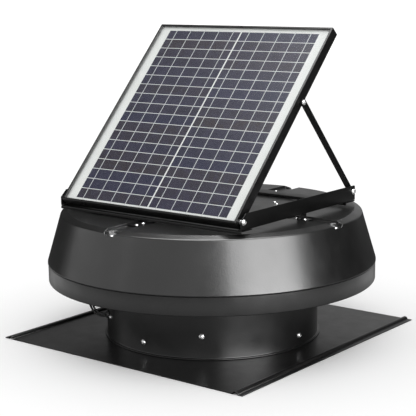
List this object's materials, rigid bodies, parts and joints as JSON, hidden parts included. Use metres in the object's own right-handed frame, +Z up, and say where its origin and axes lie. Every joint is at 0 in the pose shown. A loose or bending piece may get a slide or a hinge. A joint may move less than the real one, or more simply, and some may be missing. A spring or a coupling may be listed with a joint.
{
  "type": "solar attic fan",
  "caption": "Roof-mounted attic exhaust fan: square flashing, round throat, sheet-metal dome, and a solar panel that tilts on a small frame over the dome.",
  "frame": {"origin": "centre of the flashing's flat underside, on the fan's axis", "axes": "+Z up along the fan axis, away from the roof; +X along the panel width; -Y the low front edge of the panel, +Y the side that the panel leans back to"},
  "size_m": [0.548, 0.548, 0.5067],
  "materials": {
    "black_steel": "satin black powder coat over sheet steel",
    "black_aluminium": "black anodised",
    "zinc": "bright zinc plate",
    "galvanised": "galvanised",
    "black_plastic": "fine matt grain",
    "aluminium": "mill finish",
    "screen_steel": "woven wire",
    "rubber": "matt",
    "glass": "low-iron solar glass",
    "cells": "polycrystalline cells with silver fingers",
    "backsheet": "white polymer film"
  },
  "bodies": {
    "root": {"base_flashing": "black_steel", "throat_collar": "black_steel", "collar_screw_1": "zinc", "collar_screw_2": "zinc", "collar_screw_3": "zinc", "collar_screw_4": "zinc", "bracket_screw_1": "zinc", "bracket_screw_2": "zinc", "bracket_screw_3": "zinc", "bracket_screw_4": "zinc", "bracket_rail_left": "galvanised", "bracket_rail_right": "galvanised", "motor_plate": "galvanised", "motor_housing": "black_plastic", "motor_cover": "aluminium", "lower_bearing": "zinc", "upper_bearing": "zinc", "dome_cap": "black_steel", "dome_skirt": "black_steel", "bird_screen": "screen_steel", "dome_leg_1": "galvanised", "dome_leg_2": "galvanised", "dome_leg_3": "galvanised", "dome_leg_4": "galvanised", "frame_foot_right": "black_steel", "frame_foot_rear": "black_steel", "frame_foot_left": "black_steel", "frame_foot_front": "black_steel", "frame_arm_left": "black_steel", "frame_arm_right": "black_steel", "front_crossbar": "black_steel", "rear_crossbar": "black_steel", "hinge_bolt_left": "zinc", "hinge_bolt_right": "zinc", "strut_pivot_left": "zinc", "strut_pivot_right": "zinc", "dome_grommet": "rubber", "lead_gland": "black_plastic", "panel_lead_outer": "rubber", "panel_lead_inner": "rubber"},
    "rotor": {"motor_shaft": "zinc", "fan_hub": "aluminium", "fan_blade_1": "aluminium", "fan_blade_2": "aluminium", "fan_blade_3": "aluminium", "fan_blade_4": "aluminium", "fan_blade_5": "aluminium", "hub_nut": "zinc"},
    "panel": {"panel_rail_front": "black_aluminium", "panel_rail_back": "black_aluminium", "panel_rail_left": "black_aluminium", "panel_rail_right": "black_aluminium", "panel_glass": "glass", "cell_sheet": "cells", "backsheet": "backsheet", "junction_box": "black_plastic"},
    "left_strut": {"strut_left": "black_steel", "strut_bolt_left": "zinc"},
    "right_strut": {"strut_right": "black_steel", "strut_bolt_right": "zinc"}
  },
  "joints": [
    {"name": "fan_spin", "type": "hinge", "parent": "root", "child": "rotor", "pos_m": [0, 0, 0.084], "axis": [0, 0, 1], "continuous": true},
    {"name": "panel_tilt", "type": "hinge", "parent": "root", "child": "panel", "pos_m": [0, -0.159, 0.232], "axis": [1, 0, 0], "range_deg": [-46.4, 0]},
    {"name": "strut_left_swing", "type": "hinge", "parent": "root", "child": "left_strut", "pos_m": [-0.18, 0.1472, 0.2352], "axis": [1, 0, 0], "range_deg": [0, 48.4]},
    {"name": "strut_right_swing", "type": "hinge", "parent": "root", "child": "right_strut", "pos_m": [0.18, 0.1472, 0.2352], "axis": [1, 0, 0], "range_deg": [0, 48.4]}
  ],
  "couplings": [
    {"joint": "strut_left_swing", "follows": "panel_tilt", "ratio": -1.04},
    {"joint": "strut_right_swing", "follows": "panel_tilt", "ratio": -1.04}
  ]
}
